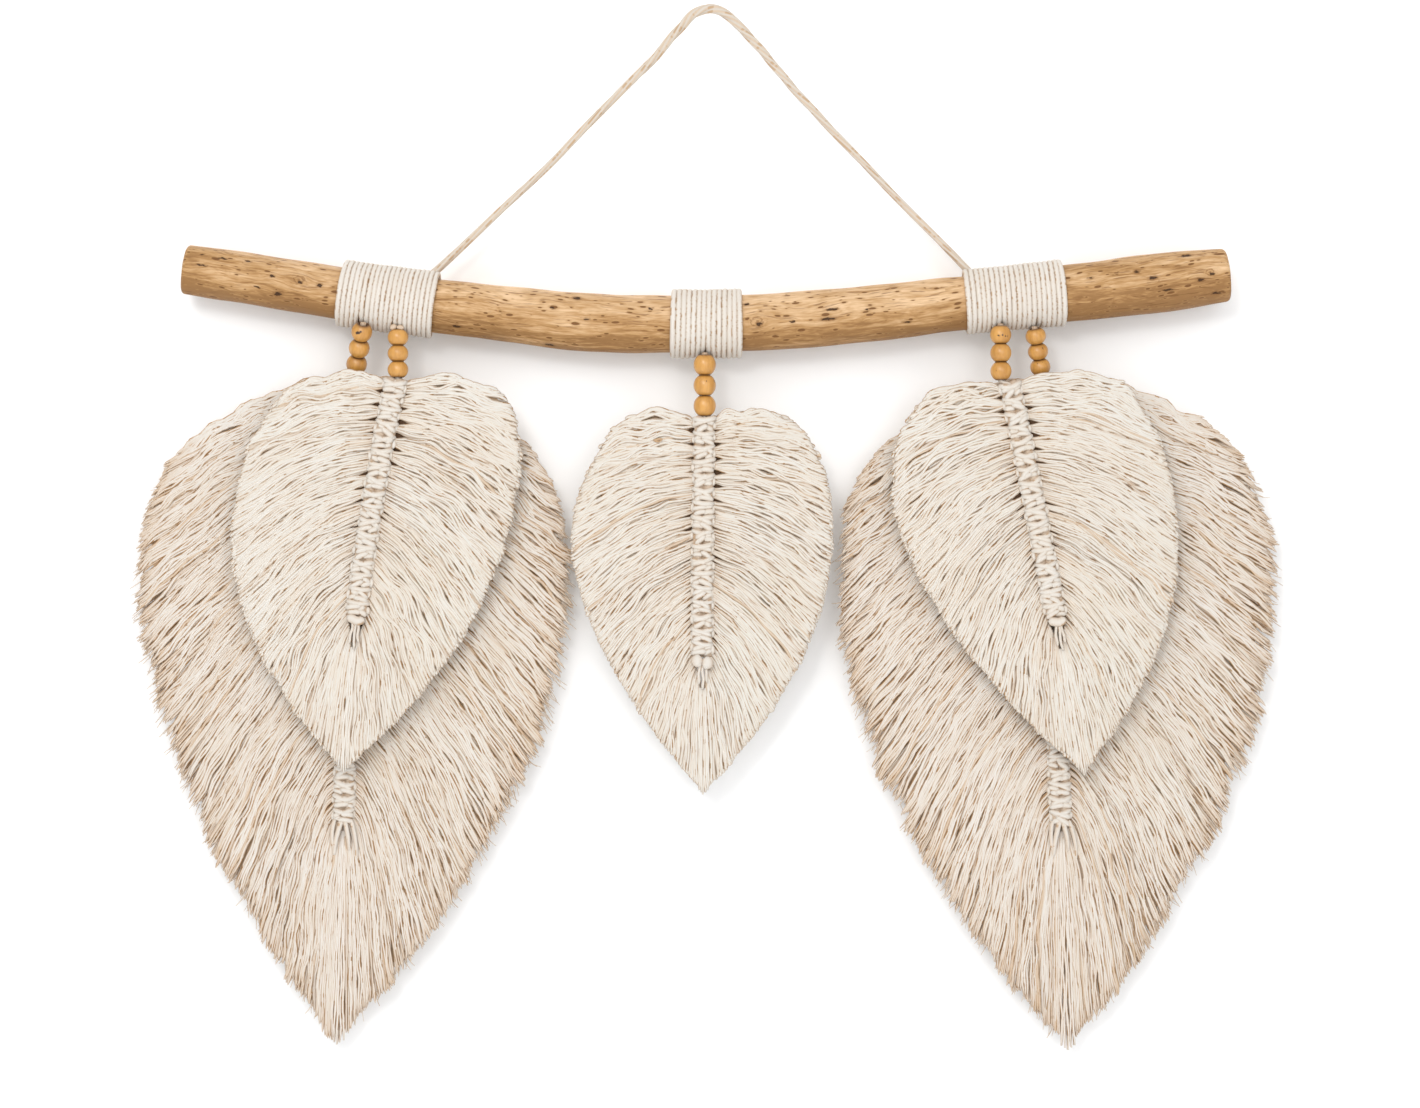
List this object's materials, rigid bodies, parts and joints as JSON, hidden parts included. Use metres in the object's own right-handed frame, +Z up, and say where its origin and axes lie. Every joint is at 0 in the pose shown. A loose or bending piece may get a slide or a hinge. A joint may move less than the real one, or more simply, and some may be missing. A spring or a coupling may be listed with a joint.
{
  "type": "macrame wall hanging of leaf shapes on a driftwood branch",
  "caption": "Cream cotton macrame wall hanging: fringed leaves on knotted spines, hung by wooden beads from a wrapped driftwood branch with a hanging cord.",
  "frame": {"origin": "the nail's place, at the inside of the hanging cord's apex", "axes": "+Z up, -Y out of the wall towards the viewer, +X to the viewer's right along the branch"},
  "size_m": [0.701, 0.0426, 0.6306],
  "materials": {
    "driftwood": "dry, lightly sanded, matt",
    "bead_wood": "smooth, satin",
    "cotton_cord": "natural cotton, matt",
    "cotton_fringe": "combed natural cotton, matt"
  },
  "bodies": {
    "root": {"branch": "driftwood", "wrap_left": "cotton_cord", "wrap_middle": "cotton_cord", "wrap_right": "cotton_cord", "hanging_cord": "cotton_cord", "leaf_small_left": "cotton_fringe", "leaf_small_middle": "cotton_fringe", "leaf_small_right": "cotton_fringe", "leaf_large_left": "cotton_fringe", "leaf_large_right": "cotton_fringe", "bead_small_left_1": "bead_wood", "bead_small_left_2": "bead_wood", "bead_small_left_3": "bead_wood", "bead_small_middle_1": "bead_wood", "bead_small_middle_2": "bead_wood", "bead_small_middle_3": "bead_wood", "bead_small_right_1": "bead_wood", "bead_small_right_2": "bead_wood", "bead_small_right_3": "bead_wood", "bead_large_left_1": "bead_wood", "bead_large_left_2": "bead_wood", "bead_large_left_3": "bead_wood", "bead_large_right_1": "bead_wood", "bead_large_right_2": "bead_wood", "bead_large_right_3": "bead_wood"}
  },
  "joints": []
}
